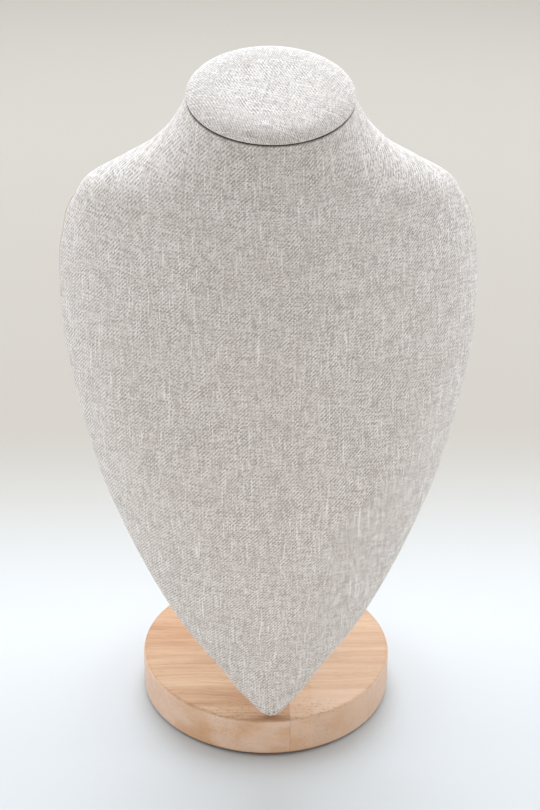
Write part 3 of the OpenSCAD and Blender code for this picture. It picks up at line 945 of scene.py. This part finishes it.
def makeKnob():
    low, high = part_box("clamp_knob")
    centre = (low + high) / 2
    look = {"radius": 10.0, "length": (high.y - low.y) / mm, "bore": 2.55, "dish": 6.2, "lobeDepth": 0.075}
    r, length = look["radius"], look["length"]
    corners = [(look["bore"], 0), (6.6, 0), (6.9, 1.2), (r - 0.6, 1.5), (r - 0.5, length - 2.6),
               (r - 2.6, length), (look["dish"], length), (look["dish"] - 0.9, length - 1.1),
               (0.0, length - 1.0), (0.0, length - 2.0), (look["bore"], length - 2.0)]
    outline = eased(corners, [0.2, 0.2, 0.5, 0.9, 1.6, 1.4, 0.5, 0.6, 0, 0, 0.1], 5)

    def lobed(angle, radius, height):
        swell = math.cos(clampLook["lobes"] * angle) * smooth((radius / mm - 6.8) / 2)
        return 1 + look["lobeDepth"] * swell

    body = turned("clampKnob", [(p.x * mm, p.y * mm) for p in outline], finish["plastic"], "Y",
                  (centre.x, low.y, centre.z), 168, 45.0, lobed)
    return body, (centre.x, low.y, centre.z), look


knob, knobAt, knobLook = makeKnob()


def makeKnobRibs():
    # short moulded ribs across the crown of each lobe
    points, turns = [], []
    lobes, count = clampLook["lobes"], clampLook["ribs"]
    for lobe in range(lobes):
        for k in range(count):
            angle = 2 * math.pi * lobe / lobes + math.radians(clampLook["ribStep"] * (k - (count - 1) / 2))
            swell = 1 + knobLook["lobeDepth"] * math.cos(lobes * angle)
            reach = (knobLook["radius"] - clampLook["ribInset"]) * swell
            points.append((knobAt[0] + reach * mm * math.cos(angle), knobAt[1] + clampLook["ribAt"] * mm,
                           knobAt[2] + reach * mm * math.sin(angle)))
            turns.append((0, -angle, 0))
    group = Group("knobRibs", [("Width", "NodeSocketFloat", 0.0004), ("Length", "NodeSocketFloat", 0.006),
                               ("Finish", "NodeSocketMaterial", None)])
    cloud, turn = turnedPoints(group)
    rib = group.add("GeometryNodeMeshCylinder", {"fill_type": "TRIANGLE_FAN"},
                    {"Vertices": 10, "Side Segments": 1, "Radius": group.value("Width"),
                     "Depth": group.value("Length")})
    lie = group.add("GeometryNodeTransform", values={"Geometry": rib.outputs["Mesh"],
                                                     "Rotation": Euler((math.pi / 2, 0, 0))})
    group.spread(cloud, lie.outputs["Geometry"], turn)
    guide = guidePoints("ribGuide", points, turns)
    sizes = {"Width": clampLook["ribWidth"] * mm, "Length": clampLook["ribLength"] * mm}
    return group.bake(guide, {**sizes, "Finish": finish["plastic"]}, "knobRibs")


ribs = makeKnobRibs()
for piece in (knob, ribs):
    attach(piece, "clamp")
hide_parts("clamp_knob")


def makeStaples():
    # crowns and legs of round wire, along both sides of the hem
    look = {"inset": 14.1, "heights": range(60, 237, 16), "above": 1.2, "wire": 0.28, "crown": 10.0,
            "leg": 3.6, "legsApart": 0.94}
    points, turns = [], []

    def rimAt(h):
        return float(surfaceU(float(h), 1.0)) * (1 - look["inset"] / float(halfWidth(float(h))))

    for h in look["heights"]:
        for side in (-1, 1):
            leanIn = math.atan2(rimAt(h + 1) - rimAt(h - 1), 2)
            points.append(np.array(onBack(side * rimAt(h), h, look["above"])) * mm)
            tip = Matrix.Rotation(math.pi / 2 - lean, 3, "X") @ Matrix.Rotation(-side * leanIn, 3, "Z")
            turns.append(tuple(tip.to_euler()))
    group = Group("stapleRow", [("Wire", "NodeSocketFloat", 0.0003), ("Crown", "NodeSocketFloat", 0.01),
                                ("Leg", "NodeSocketFloat", 0.004), ("Finish", "NodeSocketMaterial", None)])
    cloud, turn = turnedPoints(group)

    def bar(length):
        return group.add("GeometryNodeMeshCylinder", {"fill_type": "TRIANGLE_FAN"},
                         {"Vertices": 8, "Side Segments": 1, "Radius": group.value("Wire"),
                          "Depth": length}).outputs["Mesh"]

    crown = group.add("GeometryNodeTransform", values={"Geometry": bar(group.value("Crown")),
                                                       "Rotation": Euler((math.pi / 2, 0, 0))})
    parts = [crown.outputs["Geometry"]]
    for side in (-1, 1):
        half = group.times("Crown", side * look["legsApart"] / 2)
        deep = group.times("Leg", 0.5)
        move = group.add("ShaderNodeCombineXYZ", values={"Y": half, "Z": deep})
        leg = group.add("GeometryNodeTransform", values={"Geometry": bar(group.value("Leg")),
                                                         "Translation": move.outputs[0]})
        parts.append(leg.outputs["Geometry"])
    joined = group.add("GeometryNodeJoinGeometry")
    for part in parts:
        group.tree.links.new(part, joined.inputs["Geometry"])
    group.spread(cloud, joined.outputs["Geometry"], turn)
    guide = guidePoints("stapleGuide", points, turns)
    sizes = {"Wire": look["wire"] * mm, "Crown": look["crown"] * mm, "Leg": look["leg"] * mm}
    return group.bake(guide, {**sizes, "Finish": finish["zinc"]}, "coverStaples")


staples = makeStaples()
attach(staples, "bust")
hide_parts("cover_staples")
print("knob and staples made")


# floor, light and camera

studio = {"floorSize": 40.0, "floorNear": (0.50, 0.51, 0.505), "floorBehind": (0.33, 0.30, 0.255),
          "floorFar": (0.48, 0.445, 0.385), "ambient": 0.37, "ambientColour": (0.99, 0.99, 1.0),
          "aimAt": (0, 0, 0.15),
          "lamps": {  # kind, strength, size, place, colour; a sun's size is its width in radians
              "overheadGlow": ("SUN", 1.55, 1.1, (0.0, 0.55, 1.4), (0.98, 1.0, 1.05)),
              "backSoftbox": ("AREA", 13.5, 1.2, (0.0, 0.8, 1.2), (0.92, 1.0, 1.12)),
              "leftSoftbox": ("AREA", 13.0, 1.2, (-1.2, 0.35, 0.80), (0.95, 1.0, 1.05)),
              "rightSoftbox": ("AREA", 13.0, 1.2, (1.2, 0.35, 0.80), (0.95, 1.0, 1.05)),
              "nearSoftbox": ("AREA", 1.2, 0.35, (0.0, -0.55, 0.06), (1.08, 1.0, 0.94))}}


def makeFloor():
    f = Finish("paleFloor")
    x, y, _ = f.split(f.place())
    cloud = f.noise(f.place(), 3.0, 2.0)
    # painted light: the floor behind the form grows lighter with distance, evening out the lamps' fall-off
    behind = f.mix((x * x + y * y).root().within(0.35, 1.75), studio["floorBehind"], studio["floorFar"])
    colour = f.mix(y.within(0.02, 0.28), studio["floorNear"], behind)
    f.set(Base_Color=f.mix(cloud * 0.04, colour, (0.5, 0.5, 0.5)), Roughness=0.7)
    half = studio["floorSize"] / 2
    floor = makePiece("floor", [(-half, -half, 0), (half, -half, 0), (half, half, 0), (-half, half, 0)],
                      [(0, 1, 2, 3)], f.material)


def addLamp(name, kind, strength, size, place, colour):
    lamp = bpy.data.lights.new(name, kind)
    lamp.energy, lamp.color = strength, colour
    if kind == "SUN":
        lamp.angle = size
    else:
        lamp.size, lamp.shape = size, "DISK"
    piece = bpy.data.objects.new(name, lamp)
    piece.location = place
    piece.rotation_euler = (Vector(studio["aimAt"]) - Vector(place)).to_track_quat("-Z", "Y").to_euler()
    piece.visible_camera = False
    bpy.context.scene.collection.objects.link(piece)


def makeWorld():
    world = bpy.data.worlds.new("softStudio")
    world.use_nodes = True
    sky = world.node_tree.nodes["Background"]
    sky.inputs["Color"].default_value = (*studio["ambientColour"], 1)
    sky.inputs["Strength"].default_value = studio["ambient"]
    bpy.context.scene.world = world


def makeCamera():
    view = {"place": (-27.9, -650.05, 488.7), "down": 27.31, "turn": -2.5, "roll": 0.7, "lens": 71.56}
    camera = bpy.data.objects.new("camera", bpy.data.cameras.new("camera"))
    camera.data.lens, camera.data.sensor_width = view["lens"], 36.0
    camera.location = Vector(view["place"]) * mm
    turn, tilt, roll = (math.radians(view[k]) for k in ("turn", "down", "roll"))
    aim = Matrix.Rotation(turn, 3, "Z") @ Matrix.Rotation(math.pi / 2 - tilt, 3, "X")
    camera.rotation_euler = (aim @ Matrix.Rotation(roll, 3, "Z")).to_euler()
    bpy.context.scene.collection.objects.link(camera)
    bpy.context.scene.camera = camera


makeFloor()
makeWorld()
for name, lamp in studio["lamps"].items():
    addLamp(name, *lamp)
bpy.context.scene.view_settings.view_transform = "Standard"
makeCamera()
print("stage made")
